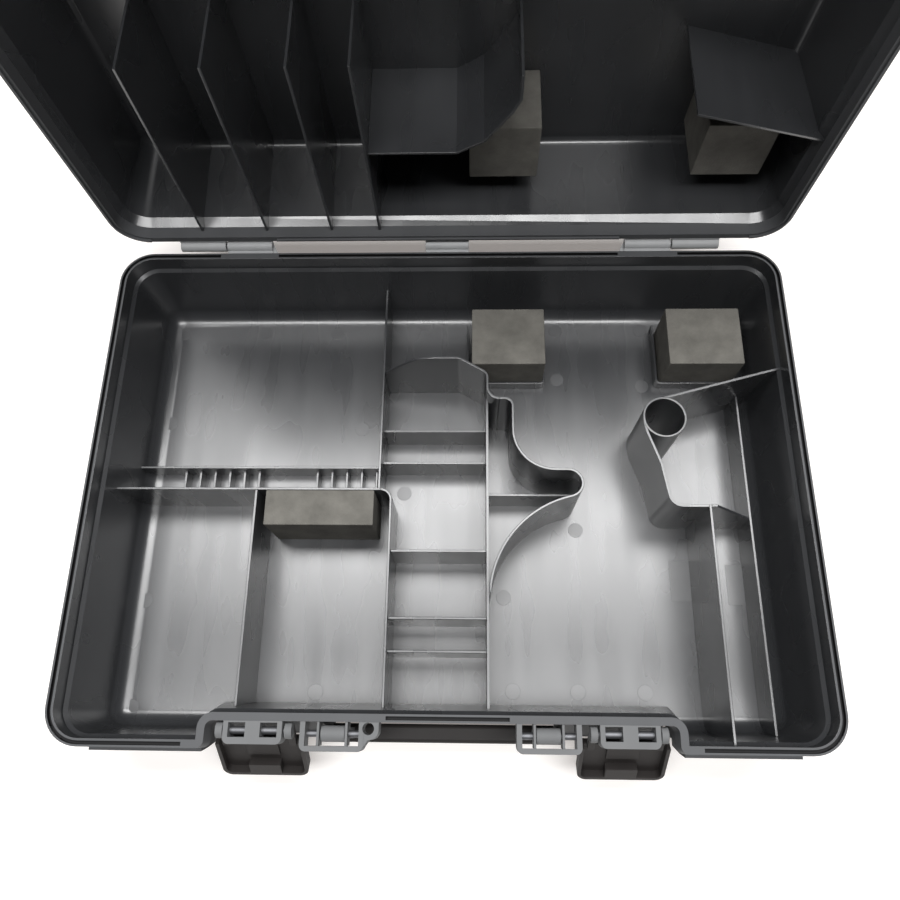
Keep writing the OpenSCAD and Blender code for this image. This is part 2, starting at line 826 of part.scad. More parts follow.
module ramp_wall() {
    x0 = right_x + div_t / 2;
    x1 = side_x - div_t / 2;
    color(body_c) facing_front(ramp_y, [[x0, floor_z], [x1, floor_z],
        [x1, floor_z + low_h], [x0 + 4, floor_z + tall_h], [x0, floor_z + tall_h]]);
}

module right_low_wall() {
    y1 = rear_wall_y(side_x) - div_t / 2 * norm([1, rear_slope]) - rear_slope * div_t / 2;
    z1 = floor_z + low_h;
    color(body_c) facing_side(side_x, concat([[y1, z1], [y1, floor_z]],
        [for (p = tray_line(z1)) [p.x - hd, p.y]]));
}

// Low frame around the front and sides of a rear foam block
module foam_frame(x) {
    gap = 0.4;
    r = 3;
    y1 = hd - frame_back;
    a = [x - frame_gap - div_t / 2, foam_y - gap - div_t / 2];
    b = [x + foam_w + gap + div_t / 2, a.y];
    color(body_c) divider(concat([[a.x, y1]], bend([a.x, y1], a, b, r), bend(a, b, [b.x, y1], r),
        [[b.x, y1]]), frame_h);
}

module foam_block(x, y, w, d, h) {
    color(foam_c) block([x, y, floor_z], [x + w, y + d, floor_z + h]);
}

// Height at which the lid's panel begins, with the lid shut
panel_z = lid_z + lid_h - floor_t;
function lid_in(z) = inset(lid_z + lid_h - z, lid_h, lid_edge);

// Rear end of a lid divider, from its free edge up to the panel
function lid_end(z0) = [[z0, rim_w], [lid_z + lid_band, rim_w],
    [lid_z + lid_band + lid_slope, rim_w + lid_step], [panel_z, lid_in(panel_z)]];

fin_xs = [for (i = [0:2]) fin_gap - hw + i * fin_pitch];

module lid_fin(x) {
    z0 = lid_z + fin_drop;
    y0 = hd - fin_l;
    color(body_c) opened() facing_side(x, concat([[y0, panel_z], [y0, z0]],
        [for (p = lid_end(z0)) [hd - p[1], p[0]]]));
}

lid_wall_drop = fin_drop + 3.4;
shelf_h = lid_h - floor_t - lid_wall_drop;

module lid_divider(p) {
    translate([0, 0, lid_z + lid_wall_drop]) linear_extrude(shelf_h) ribbon(p, div_t);
}

fin_4_x = rear_x - 1.5;

module lid_wall_left() {
    x1 = centre_r + step_out;
    y1 = pocket_y - 0.05 * pocket_run;
    color(body_c) opened() lid_divider([[fin_4_x + div_t / 2, y1],
        [centre_r - 0.89 * pocket_run, y1],
        [centre_r - 0.12 * pocket_run, y1 - 0.46 * pocket_run],
        [x1 - 0.2 * pocket_run, y1 - 1.45 * pocket_run],
        [x1, y1 - 1.9 * pocket_run], [x1, y1 - 2.65 * pocket_run]]);
}

module lid_wall_right() {
    color(body_c) opened() intersection() {
        lid_divider([[tube_x, rear_wall_y(tube_x)], [hw, rear_wall_y(hw)]]);
        translate([0, 0, lid_z + lid_h]) mirror([0, 0, 1]) room(lid_h, lid_edge);
    }
}

module lid_foam(x) {
    color(foam_c) opened() block([x, lid_foam_y, panel_z - lid_foam_t],
        [x + lid_foam_w, lid_foam_y + lid_foam_w, panel_z]);
}

// Ridge on the lid that the lever's claw pulls on
module lid_catch(s) {
    w = ear_w - 2 * window_edge;
    y0 = recess_y - catch_reach;
    z0 = lid_z + catch_z;
    foot_z = lid_z + lid_band + lid_slope;
    color(body_c) opened() side(s) union() {
        facing_side(latch_x, concat([[y0, z0 + catch_h], [y0, z0]],
            [for (z = [z0, z0 + catch_h]) [recess_y + lid_in(z) - wall_t, z]]), w);
        for (x = [latch_x - w / 3, latch_x + w / 3])
            facing_side(x, concat([[recess_y, z0], [recess_y, foot_z]],
                [for (z = [foot_z, z0]) [recess_y + lid_in(z) - wall_t, z]]), 2);
    }
}

// Outline of a lever's tray, this far in from its edge, from z0 up to the rounded tip
module lever_plan(in, z0) {
    x = lever_w / 2 - in;
    z1 = lever_l - in;
    r = lever_corner - in;
    translate([-x, z0]) square([2 * x, z1 - r - z0]);
    translate([r - x, z0]) square([2 * (x - r), z1 - z0]);
    for (s = [-1, 1]) translate([s * (x - r), z1 - r]) circle(r, $fn = seg);
}

// Lever drawn upright with its pin at the origin, and its open side towards +Y
module lever() {
    half = lever_w / 2;
    reach = ear_w / 2 + arm_gap;
    claw = claw_w / 2;
    claw_z = latch_pin_z + rim_gap + catch_z + catch_h + claw_gap;
    difference() {
        union() {
            translate([0, lever_t - lever_d, 0]) rotate([90, 0, 0])
                linear_extrude(lever_t) lever_plan(0, lever_start);
            rotate([90, 0, 0]) linear_extrude(lever_d) difference() {
                lever_plan(0, lever_start);
                lever_plan(lever_t, lever_start - 1);
            }
            block([-half, -lever_d, lever_start], [half, -lever_d / 2, lever_start + lever_t]);
            block([-claw, -lever_d, lever_start], [claw, -lever_d / 2, claw_z - catch_h - 2]);
            block([-claw, -lever_d, claw_z], [claw, 0, lever_l - lever_t / 2]);
            for (s = [-1, 1]) side(s) {
                rod(reach, reach + arm_t, 0, 0, hub_r);
                block([reach, -hub_r, 0], [reach + arm_t, -1, lever_start + lever_t]);
            }
        }
        rod(-half, half, 0, 0, latch_pin_r + pin_gap);
    }
}

module latch(s) {
    color(lever_c) side(s) translate([latch_x, latch_y, latch_z])
        rotate([180 - lever_hang, 0, 0]) lever();
}

module handle() {
    half = handle_arm_w / 2;
    y0 = axle_y - grip_t / 2;
    z1 = axle_z - handle_l;
    color(lever_c) difference() {
        union() {
            for (s = [-1, 1]) side(s) {
                rod(pocket_x - half, pocket_x + half, axle_y, axle_z, hub_r);
                block([pocket_x - half, axle_y - arm_h / 2, z1],
                    [pocket_x + half, axle_y + arm_h / 2, axle_z]);
            }
            block([-pocket_x - half, y0 + grip_t / 4, z1 - grip_t],
                [pocket_x + half, y0 + grip_t * 3 / 4, z1]);
            block([-pocket_x - half, y0, z1 - grip_t * 3 / 4],
                [pocket_x + half, y0 + grip_t, z1 - grip_t / 4]);
            for (y = [y0 + grip_t / 4, y0 + grip_t * 3 / 4],
                z = [z1 - grip_t / 4, z1 - grip_t * 3 / 4])
                rod(-pocket_x - half, pocket_x + half, y, z, grip_t / 4);
        }
        for (s = [-1, 1]) side(s)
            rod(pocket_x - half - 1, pocket_x + half + 1, axle_y, axle_z, handle_axle_r + pin_gap);
    }
}

base_shell();
base_knuckle(-1);  // base_knuckle_left
base_knuckle(1);  // base_knuckle_right
mid_knuckle();
latch_ear(-1);  // latch_ear_left
latch_ear(1);  // latch_ear_right
handle_pocket(-1);  // handle_pocket_left
handle_pocket(1);  // handle_pocket_right
padlock_boss();
ear_panel(-1);  // ear_panel_left
ear_panel(1);  // ear_panel_right
cross_wall();
comb_wall();
comb_ribs();
front_left_wall();
rear_left_wall();
centre_wall_left();
centre_wall_right();
rung(rung_1_y, rear_x, low_h);  // rung_1
rung(rung_2_y, rear_x, low_h);  // rung_2
rung(-rung_3_y, centre_l, rung_h);  // rung_3
rung(-rung_4_y, centre_l, rung_h);  // rung_4
rung(-rung_5_y, centre_l, rung_h);  // rung_5
rear_pocket_wall();
curved_wall();
curved_wall_web();
round_holder();
holder_rear_wall();
holder_front_wall();
ramp_wall();
right_wall();
right_low_wall();
foam_frame(foam_left_x);  // foam_frame_left
foam_frame(foam_right_x);  // foam_frame_right
foam_block(foam_left_x, foam_y, foam_w, foam_d, foam_h);  // foam_rear_left
foam_block(foam_right_x, foam_y, foam_w, foam_d, foam_h);  // foam_rear_right
foam_block(left_x + div_t / 2 + front_foam_gap, cross_y - div_t / 2 - 0.3 - front_foam_d,  // foam_front
        front_foam_w, front_foam_d, front_foam_h);
hinge_pin(-1);  // hinge_pin_left
hinge_pin(1);  // hinge_pin_right
latch_pin(-1);  // latch_pin_left
latch_pin(1);  // latch_pin_right
handle_axle(-1);  // handle_axle_left
handle_axle(1);  // handle_axle_right
lid_shell();
lid_knuckle(-1);  // lid_knuckle_left
lid_knuckle(1);  // lid_knuckle_right
lid_fin(fin_xs[0]);  // lid_fin_1
lid_fin(fin_xs[1]);  // lid_fin_2
lid_fin(fin_xs[2]);  // lid_fin_3
lid_fin(fin_4_x);  // lid_fin_4
lid_wall_left();
lid_wall_right();
lid_foam(foam_left_x - 2);  // lid_foam_left
lid_foam(foam_right_x + 5.6);  // lid_foam_right
lid_catch(-1);  // lid_catch_left
lid_catch(1);  // lid_catch_right
latch(-1);  // latch_left
latch(1);  // latch_right
handle();
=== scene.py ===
import json
import math

import bmesh
import bpy
from mathutils import Matrix, Vector


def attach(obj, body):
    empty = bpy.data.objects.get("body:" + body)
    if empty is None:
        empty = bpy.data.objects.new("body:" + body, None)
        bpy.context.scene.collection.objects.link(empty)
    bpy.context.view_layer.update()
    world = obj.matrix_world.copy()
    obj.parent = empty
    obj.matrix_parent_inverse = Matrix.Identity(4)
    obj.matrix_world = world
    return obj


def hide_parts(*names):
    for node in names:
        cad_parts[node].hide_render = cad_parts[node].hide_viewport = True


bl_info = {
    "name": "Hard tool case",
    "version": (1, 0, 0),
    "blender": (4, 5, 0),
    "location": "View3D > Sidebar > Tool case",
    "description": "Builds the looks of an open moulded tool case over its packed parts",
    "category": "Object",
}

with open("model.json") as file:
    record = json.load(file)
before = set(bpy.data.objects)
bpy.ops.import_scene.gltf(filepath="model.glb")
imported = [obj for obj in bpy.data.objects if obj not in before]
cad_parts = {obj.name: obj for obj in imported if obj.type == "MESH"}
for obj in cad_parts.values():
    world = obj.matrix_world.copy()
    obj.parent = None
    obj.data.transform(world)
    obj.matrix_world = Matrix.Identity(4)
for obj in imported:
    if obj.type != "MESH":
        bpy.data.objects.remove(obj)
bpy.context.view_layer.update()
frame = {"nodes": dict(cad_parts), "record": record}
NODES = frame["nodes"]
RECORD = frame["record"]
BODY_OF = {
    node: body for body, nodes in RECORD["behaviour"]["bodies"].items() for node in nodes
}
JOINT_AT = {joint["name"]: joint["pos_m"] for joint in RECORD["behaviour"]["joints"]}
MM = 0.001


def extent(node, axis, end):
    """How far a CAD node goes along an axis, to a micrometre: its lowest place with min, its
    highest with max."""
    return round(end(vertex.co[axis] for vertex in NODES[node].data.vertices), 6)


# The tray's floor and rim, the lid's panel, and the hinge's axis
FLOOR_Z = extent("foam_front", 2, min)
RIM_Z = extent("base_shell", 2, max)
PANEL_Y = extent("lid_foam_left", 1, max)
HINGE_Y, HINGE_Z = JOINT_AT["lid_hinge"][1:]

# The smooth room inside the rims ends here, and its middle is this far from the hinge's height.
# The lid's room starts above its outer band, as it lies when it is shut
ROOM_HALF_W, ROOM_HALF_D, ROOM_MIDDLE = 245.3 * MM, 173.3 * MM, 40 * MM
LID_ROOM_Z = 89.7 * MM
# The recess for the latches and the handle: its back, its ends, and the foot of its back wall
RECESS_Y, RECESS_HALF_W, RECESS_END_X = -149 * MM, 164 * MM, 151 * MM
RECESS_FOOT_Y, RECESS_FOOT_HALF_W = -140 * MM, 163 * MM
# The sealing groove's walls and bottom lie this far below the rim; the faces between them are painted
# nearly black as shade
GROOVE_TOP, GROOVE_BOTTOM = 0.6 * MM, 3.1 * MM
# The hubs of the levers and the handle reach this far from their pins; their faces get a painted
# highlight in the paler fitting plastic
LEVER_HUB_HIGHLIGHT, HANDLE_HUB_HIGHLIGHT = 5.6 * MM, 9 * MM

# Edges over these angles, in degrees, are rounded, and edges under the last one shade smoothly
SHARP_FROM, SHELL_SHARP_FROM, SMOOTH_UNDER = 35, 40, 22

DIVIDERS = (
    "cross_wall", "comb_wall", "comb_ribs", "front_left_wall", "rear_left_wall",
    "centre_wall_left", "centre_wall_right", "rung_1", "rung_2", "rung_3", "rung_4",
    "rung_5", "rear_pocket_wall", "curved_wall", "curved_wall_web", "round_holder",
    "holder_rear_wall", "holder_front_wall", "ramp_wall", "right_wall",
    "right_low_wall", "foam_frame_left", "foam_frame_right",
)
TRAY_FITTINGS = (
    "latch_ear_left", "latch_ear_right", "handle_pocket_left", "handle_pocket_right",
    "padlock_boss",
)
EAR_PANELS = ("ear_panel_left", "ear_panel_right")
TRAY_KNUCKLES = ("base_knuckle_left", "base_knuckle_right", "mid_knuckle")
LID_KNUCKLES = ("lid_knuckle_left", "lid_knuckle_right")
LID_WALLS = (
    "lid_fin_1", "lid_fin_2", "lid_fin_3", "lid_fin_4", "lid_wall_left", "lid_wall_right",
    "lid_catch_left", "lid_catch_right",
)
PINS = (
    "hinge_pin_left", "hinge_pin_right", "latch_pin_left", "latch_pin_right",
    "handle_axle_left", "handle_axle_right",
)
FOAM_PADS = (
    "foam_rear_left", "foam_rear_right", "foam_front", "lid_foam_left", "lid_foam_right",
)

# Middles of the round marks on the tray floor, in mm
EJECTOR_MARKS = (
    (-227, 149), (-157, 149), (-95, 149), (-228, 67), (-70, 62), (-228, -77), (-228, -154),
    (-94, -142), (-34, 8), (43, -73), (49, -140), (96, -140), (144, -140), (99, -21),
    (89, 106), (158, 100), (89, 151), (160, 151), (236, 43), (235, -10), (236, -150),
)
# Middle, width and depth of the rectangular marks, in mm
INSERT_MARKS = ((176.5, -59.5, 17, 31), (218, -62, 16, 30))
# How far each kind of mark stands up, and how much its edge is rounded
EJECTOR_UP, EJECTOR_EDGE = 0.22 * MM, 0.12 * MM
INSERT_UP, INSERT_EDGE = 0.2 * MM, 0.08 * MM

# The camera's place in m and its turn in degrees, solved from the rim's corners in the photo
CAMERA_AT = (0.0200, -0.1586, 0.5832)
CAMERA_TURN = (19.3, 1.59, 0.658)
# Its lens and the width of its sensor in mm
CAMERA_LENS, SENSOR_WIDTH = 30.65, 36
# Half the table's width in m, how much it is lifted for the camera, and the world's faint light
TABLE_HALF, TABLE_LIFT, FILL_LIGHT = 4, 0.25, 0.06
# Ceiling lamps: place, width and depth in m, and watts. The first one mirrors in the tray's floor
# and the second one in the slope at the rear of the lid
LAMPS = (
    ("rear", (0.1, 0.54, 2.0), (2.3, 0.62), 48.0),
    ("front", (0.1, -0.44, 2.0), (2.3, 0.46), 40.0),
)


def linear(code):
    """An sRGB hex colour as linear red, green, blue and alpha."""
    parts = [int(code[i:i + 2], 16) / 255 for i in (1, 3, 5)]
    return tuple(
        c / 12.92 if c <= 0.04045 else ((c + 0.055) / 1.055) ** 2.4 for c in parts
    ) + (1.0,)


def add(tree, kind, inputs=None, **properties):
    """Adds a shader node, sets its properties, and fills or links its inputs."""
    made = tree.nodes.new(kind)
    for name, value in properties.items():
        setattr(made, name, value)
    for name, value in (inputs or {}).items():
        if isinstance(value, bpy.types.NodeSocket):
            tree.links.new(value, made.inputs[name])
        else:
            made.inputs[name].default_value = value
    return made


def new_material(name):
    """An empty material and its node tree."""
    material = bpy.data.materials.get(name)
    if material is None:
        material = bpy.data.materials.new(name)
    material.use_nodes = True
    material.node_tree.nodes.clear()
    return material, material.node_tree


def cells_of(size):
    """The pattern scale at which one cell is this many millimetres wide."""
    return 1 / (size * MM)


class ToolCaseColours(bpy.types.PropertyGroup):
    """The colours of the tool case"""
    shell: bpy.props.FloatVectorProperty(
        name="Shell", description="Grained outside of the tray and the lid",
        default=linear("#4e4f51"), size=4, min=0, max=1, subtype="COLOR")
    # Paler than the shell: painted light on the tops of the ears and pockets and on the lever hubs
    fitting: bpy.props.FloatVectorProperty(
        name="Fittings", description="Latch ears, handle pockets and padlock boss",
        default=linear("#6a6b6c"), size=4, min=0, max=1, subtype="COLOR")
    # Pale grey: painted light on the round knuckles
    hinge: bpy.props.FloatVectorProperty(
        name="Hinges", description="Hinge knuckles",
        default=linear("#a2a3a4"), size=4, min=0, max=1, subtype="COLOR")
    # Nearly black: painted shade in the deep, narrow groove
    groove: bpy.props.FloatVectorProperty(
        name="Groove", description="Sealing groove in the tray's rim",
        default=linear("#1b1b1c"), size=4, min=0, max=1, subtype="COLOR")
    inside: bpy.props.FloatVectorProperty(
        name="Inside", description="Smooth inside, with its dividers",
        default=linear("#343537"), size=4, min=0, max=1, subtype="COLOR")
    foam: bpy.props.FloatVectorProperty(
        name="Foam", description="Foam pads",
        default=linear("#66645f"), size=4, min=0, max=1, subtype="COLOR")
    lever: bpy.props.FloatVectorProperty(
        name="Levers", description="Latch levers and folding handle",
        default=linear("#2b2827"), size=4, min=0, max=1, subtype="COLOR")
    pin: bpy.props.FloatVectorProperty(
        name="Pins", description="Steel pins",
        default=linear("#76777a"), size=4, min=0, max=1, subtype="COLOR")


class ToolCaseSizes(bpy.types.PropertyGroup):
    """The finishing sizes of the tool case"""
    floor_fillet: bpy.props.FloatProperty(
        name="Floor fillet", description="Radius where the walls meet the floor",
        default=10.5 * MM, min=1 * MM, max=11 * MM, unit="LENGTH")
    lid_fillet: bpy.props.FloatProperty(
        name="Lid fillet", description="Radius where the lid's walls meet its panel",
        default=5 * MM, min=1 * MM, max=10 * MM, unit="LENGTH")
    shell_edge: bpy.props.FloatProperty(
        name="Shell edge", description="Rounding of the edges of the shells and the fittings",
        default=0.4 * MM, min=0.1 * MM, max=0.6 * MM, unit="LENGTH")
    wall_edge: bpy.props.FloatProperty(
        name="Thin wall edge", description="Rounding of the edges of the dividers and the lid's walls",
        default=0.35 * MM, min=0.1 * MM, max=0.5 * MM, unit="LENGTH")
    lever_edge: bpy.props.FloatProperty(
        name="Lever edge", description="Rounding of the edges of the latches and the handle",
        default=0.6 * MM, min=0.1 * MM, max=0.8 * MM, unit="LENGTH")
    foam_edge: bpy.props.FloatProperty(
        name="Foam edge", description="Rounding of the edges of the foam pads",
        default=0.8 * MM, min=0.1 * MM, max=2 * MM, unit="LENGTH")
    ejector_radius: bpy.props.FloatProperty(
        name="Ejector mark", description="Radius of the round marks on the tray floor",
        default=5.6 * MM, min=2 * MM, max=8 * MM, unit="LENGTH")


def colours():
    """The colours that are set in the panel."""
    return bpy.context.scene.tool_case_colours


def sizes():
    """The sizes that are set in the panel."""
    return bpy.context.scene.tool_case_sizes


def moulded_polypropylene(name, colour, roughness, streaks, ior, grain_depth):
    """Black polypropylene as it leaves the mould: faint flow marks where the melt ran make its
    sheen and its tone a little uneven, and a grain makes it duller."""
    material, tree = new_material(name)
    place = add(tree, "ShaderNodeTexCoord").outputs["Object"]
    # Flow marks are 12.5 mm wide and 167 mm long, over patches of 50 mm
    along = add(tree, "ShaderNodeMapping", {
        "Vector": place, "Scale": (cells_of(12.5), cells_of(166.7), cells_of(166.7))})
    flow = add(tree, "ShaderNodeTexNoise", {
        "Vector": along.outputs["Vector"], "Scale": 1.0, "Detail": 1.0, "Roughness": 0.4})
    cloud = add(tree, "ShaderNodeTexNoise", {
        "Vector": place, "Scale": cells_of(50), "Detail": 1.0, "Roughness": 0.5})
    mixed = add(tree, "ShaderNodeMath", {0: flow.outputs["Fac"], 1: cloud.outputs["Fac"]},
                operation="ADD")
    rough = add(tree, "ShaderNodeMapRange", {
        "Value": mixed.outputs[0], "From Min": 0.5, "From Max": 1.5,
        "To Min": roughness - streaks, "To Max": roughness + streaks})
    tint = add(tree, "ShaderNodeMapRange", {
        "Value": mixed.outputs[0], "From Min": 0.5, "From Max": 1.5,
        "To Min": 0.9, "To Max": 1.1})
    shade = add(tree, "ShaderNodeVectorMath", {
        0: colour[:3], "Scale": tint.outputs["Result"]}, operation="SCALE")
    # An eroded mould has a grain of about 0.1 mm. It is drawn at 0.7 mm, so that it shows
    grain = add(tree, "ShaderNodeTexNoise", {
        "Vector": place, "Scale": cells_of(0.714), "Detail": 2.0, "Roughness": 0.6})
    bump = add(tree, "ShaderNodeBump", {
        "Height": grain.outputs["Fac"], "Strength": grain_depth, "Distance": 0.1 * MM})
    skin = add(tree, "ShaderNodeBsdfPrincipled", {
        "Base Color": shade.outputs["Vector"], "Roughness": rough.outputs["Result"],
        "IOR": ior, "Normal": bump.outputs["Normal"]})
    add(tree, "ShaderNodeOutputMaterial", {"Surface": skin.outputs["BSDF"]})
    return material


def grained_plastic():
    """Outside of the shells. The eroded grain scatters the light, so it looks dull and even."""
    return moulded_polypropylene(
        "grained_polypropylene_outside", colours().shell,
        roughness=0.6, streaks=0.02, ior=1.38, grain_depth=0.2)


def fitting_plastic():
    """Ears, pockets and hubs. Their paler grey is painted light, for the brighter light on their tops
    and on the round hubs, and they hardly shine.
    """
    return moulded_polypropylene(
        "grained_polypropylene_fittings_painted_light", colours().fitting,
        roughness=0.65, streaks=0.02, ior=1.3, grain_depth=0.2)


def hinge_plastic():
    """Knuckles. Their pale grey is painted light, for the bright light that falls on their round
    barrels.
    """
    return moulded_polypropylene(
        "polypropylene_hinge_painted_light", colours().hinge,
        roughness=0.5, streaks=0.02, ior=1.5, grain_depth=0.15)


def groove_plastic():
    """The sealing groove, deep and narrow, painted nearly black as the shade that falls in it."""
    return moulded_polypropylene(
        "polypropylene_groove_painted_shade", colours().groove,
        roughness=0.7, streaks=0.02, ior=1.3, grain_depth=0.1)


def mark_plastic():
    """Ejector marks. They are a little rougher than the floor, so its sheen dulls there."""
    return moulded_polypropylene(
        "smooth_polypropylene_pin_marks", colours().inside,
        roughness=0.38, streaks=0.03, ior=1.85, grain_depth=0.1)


def smooth_plastic():
    """Inside and dividers. The polished mould gives a broad silvery sheen. The IOR is above
    that of plain polypropylene, because the real sheen is that strong."""
    return moulded_polypropylene(
        "smooth_polypropylene_inside", colours().inside,
        roughness=0.28, streaks=0.05, ior=1.85, grain_depth=0.05)


def lever_plastic():
    """Latches and handle. They are a warmer black, with a low satin shine."""
    return moulded_polypropylene(
        "moulded_polypropylene_lever", colours().lever,
        roughness=0.55, streaks=0.02, ior=1.35, grain_depth=0.15)


def cut_foam():
    """Closed-cell EVA foam, sawn to size: dull, warm black, with the fine cells that the
    saw opened."""
    material, tree = new_material("cut_eva_foam")
    place = add(tree, "ShaderNodeTexCoord").outputs["Object"]
    # Real cells are about 0.3 mm wide. They are drawn at 1.4 mm, so that they show
    cells = add(tree, "ShaderNodeTexVoronoi", {"Vector": place, "Scale": cells_of(1.43)})
    # Paler and darker patches from the saw, about 17 mm wide
    patch = add(tree, "ShaderNodeTexNoise", {
        "Vector": place, "Scale": cells_of(16.67), "Detail": 4.0, "Roughness": 0.6})
    tint = add(tree, "ShaderNodeMapRange", {
        "Value": patch.outputs["Fac"], "From Min": 0.3, "From Max": 0.7,
        "To Min": 0.8, "To Max": 1.2})
    shade = add(tree, "ShaderNodeVectorMath", {
        0: colours().foam[:3], "Scale": tint.outputs["Result"]}, operation="SCALE")
    bump = add(tree, "ShaderNodeBump", {
        "Height": cells.outputs["Distance"], "Strength": 0.5, "Distance": 0.4 * MM})
    skin = add(tree, "ShaderNodeBsdfPrincipled", {
        "Base Color": shade.outputs["Vector"], "Roughness": 0.92,
        "IOR": 1.45, "Specular IOR Level": 0.25, "Normal": bump.outputs["Normal"]})
    add(tree, "ShaderNodeOutputMaterial", {"Surface": skin.outputs["BSDF"]})
    return material


def drawn_steel():
    """Drawn steel rod: grey metal, with fine polishing rings that spread its shine."""
    material, tree = new_material("drawn_steel_pin")
    place = add(tree, "ShaderNodeTexCoord").outputs["Object"]
    # The rings are 0.45 mm apart along the rod
    along = add(tree, "ShaderNodeMapping", {
        "Vector": place, "Scale": (cells_of(0.4545), cells_of(16.67), cells_of(16.67))})
    rings = add(tree, "ShaderNodeTexNoise", {
        "Vector": along.outputs["Vector"], "Scale": 1.0, "Detail": 2.0})
    rough = add(tree, "ShaderNodeMapRange", {
        "Value": rings.outputs["Fac"], "To Min": 0.5, "To Max": 0.65})
    skin = add(tree, "ShaderNodeBsdfPrincipled", {
        "Base Color": tuple(colours().pin), "Metallic": 1.0,
        "Roughness": rough.outputs["Result"]})
    add(tree, "ShaderNodeOutputMaterial", {"Surface": skin.outputs["BSDF"]})
    return material


def merged(node, near=0.01 * MM):
    """The solid of a CAD node as a bmesh, with doubled points joined and flat faces whole."""
    bm = bmesh.new()
    bm.from_mesh(NODES[node].data)
    bmesh.ops.remove_doubles(bm, verts=bm.verts, dist=near)
    bmesh.ops.dissolve_degenerate(bm, edges=bm.edges, dist=near)
    bmesh.ops.dissolve_limit(bm, angle_limit=math.radians(0.6), verts=bm.verts, edges=bm.edges,
                             use_dissolve_boundaries=False)
    return bm


def sharp_edges(bm, degrees):
    """Outward edges where two faces meet at more than this angle."""
    return [e for e in bm.edges if len(e.link_faces) == 2
            and e.calc_face_angle(0) > math.radians(degrees) and e.is_convex]


def round_edges(bm, edges, width, segments=2, clamp=True):
    """Rounds these edges to about this width."""
    bmesh.ops.bevel(bm, geom=edges, offset=width, offset_type="OFFSET", segments=segments,
                    profile=0.5, affect="EDGES", clamp_overlap=clamp, material=-1)


def finish_piece(bm, name, nodes, material, body=None):
    """Makes the bmesh an object that stands for these CAD nodes and moves with their body."""
    mesh = bpy.data.meshes.new(name)
    for edge in bm.edges:
        edge.smooth = (len(edge.link_faces) == 2
                       and edge.calc_face_angle(0) < math.radians(SMOOTH_UNDER))
    bm.to_mesh(mesh)
    bm.free()
    for layer in ("custom_normal", "sharp_face"):
        if layer in mesh.attributes:
            mesh.attributes.remove(mesh.attributes[layer])
    piece = bpy.data.objects.new(name, mesh)
    bpy.context.scene.collection.objects.link(piece)
    mesh.materials.append(material)
    mesh.polygons.foreach_set("use_smooth", [True] * len(mesh.polygons))
    flat = piece.modifiers.new("flat_faces", "WEIGHTED_NORMAL")
    flat.keep_sharp = True
    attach(piece, body or BODY_OF[nodes[0]])
    if nodes:
        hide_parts(*nodes)
    return piece


def softened(node, material, width, segments=2):
    """A copy of one CAD node with its outer edges rounded as a mould leaves them."""
    bm = merged(node)
    round_edges(bm, sharp_edges(bm, SHARP_FROM), width, segments)
    return finish_piece(bm, node + "_piece", [node], material)


def inside(face, is_lid):
    """Whether this face of a shell is part of the smooth room inside its rim."""
    at, out = face.calc_center_median(), face.normal
    if is_lid:
        at = Vector((at.x, HINGE_Y + HINGE_Z - at.z, HINGE_Z - HINGE_Y + at.y))
        out = Vector((out.x, -out.z, out.y))
    if abs(at.x) > ROOM_HALF_W or abs(at.y) > ROOM_HALF_D or is_lid and at.z < LID_ROOM_Z:
        return False
    if at.y < RECESS_Y and abs(at.x) < RECESS_HALF_W:
        faces_end = out.x * at.x > 0 and abs(out.x) > 0.3 and abs(at.x) > RECESS_END_X
        return out.y > 0.3 or faces_end
    middle = Vector((0, 0, HINGE_Z + (ROOM_MIDDLE if is_lid else -ROOM_MIDDLE)))
    return out.dot(middle - at) > 0


def at_recess_foot(at):
    """Whether a place is at the foot of the recess's back wall, which has no fillet."""
    return at.y < RECESS_FOOT_Y and abs(at.x) < RECESS_FOOT_HALF_W


def shell_piece(node, name, inner, towards, fillet):
    """One half of the case. It has a round fillet at its inner face, which lies at this
    distance along this direction, soft rim edges, and a skin for each side of its wall."""
    is_lid = node == "lid_shell"
    bm = merged(node, near=0.05 * MM)
    axis = Vector(towards)
    foot = [e for e in bm.edges if len(e.link_faces) == 2
            and all(abs(v.co.dot(axis) - inner) < 0.2 * MM for v in e.verts)
            and e.calc_face_angle(0) > math.radians(SHARP_FROM)
            and (is_lid or not all(at_recess_foot(v.co) for v in e.verts))]
    round_edges(bm, foot, fillet, 8, clamp=False)
    bmesh.ops.remove_doubles(bm, verts=bm.verts, dist=0.02 * MM)
    round_edges(bm, sharp_edges(bm, SHELL_SHARP_FROM), sizes().shell_edge)
    bm.normal_update()
    for face in bm.faces:
        below_rim = RIM_Z - face.calc_center_median().z
        if inside(face, is_lid):
            face.material_index = 1
        # Groove faces take the nearly black plastic: painted shade
        elif not is_lid and GROOVE_TOP < below_rim < GROOVE_BOTTOM:
            face.material_index = 2
        else:
            face.material_index = 0
    piece = finish_piece(bm, name, [node], grained_plastic())
    piece.data.materials.append(smooth_plastic())
    piece.data.materials.append(groove_plastic())
    return piece


class TOOLCASE_OT_tray(bpy.types.Operator):
    """Builds the tray's shell"""
    bl_idname = "toolcase.tray"
    bl_label = "Tray shell"

    def execute(self, context):
        shell_piece("base_shell", "tray", FLOOR_Z, (0, 0, 1), sizes().floor_fillet)
        return {"FINISHED"}


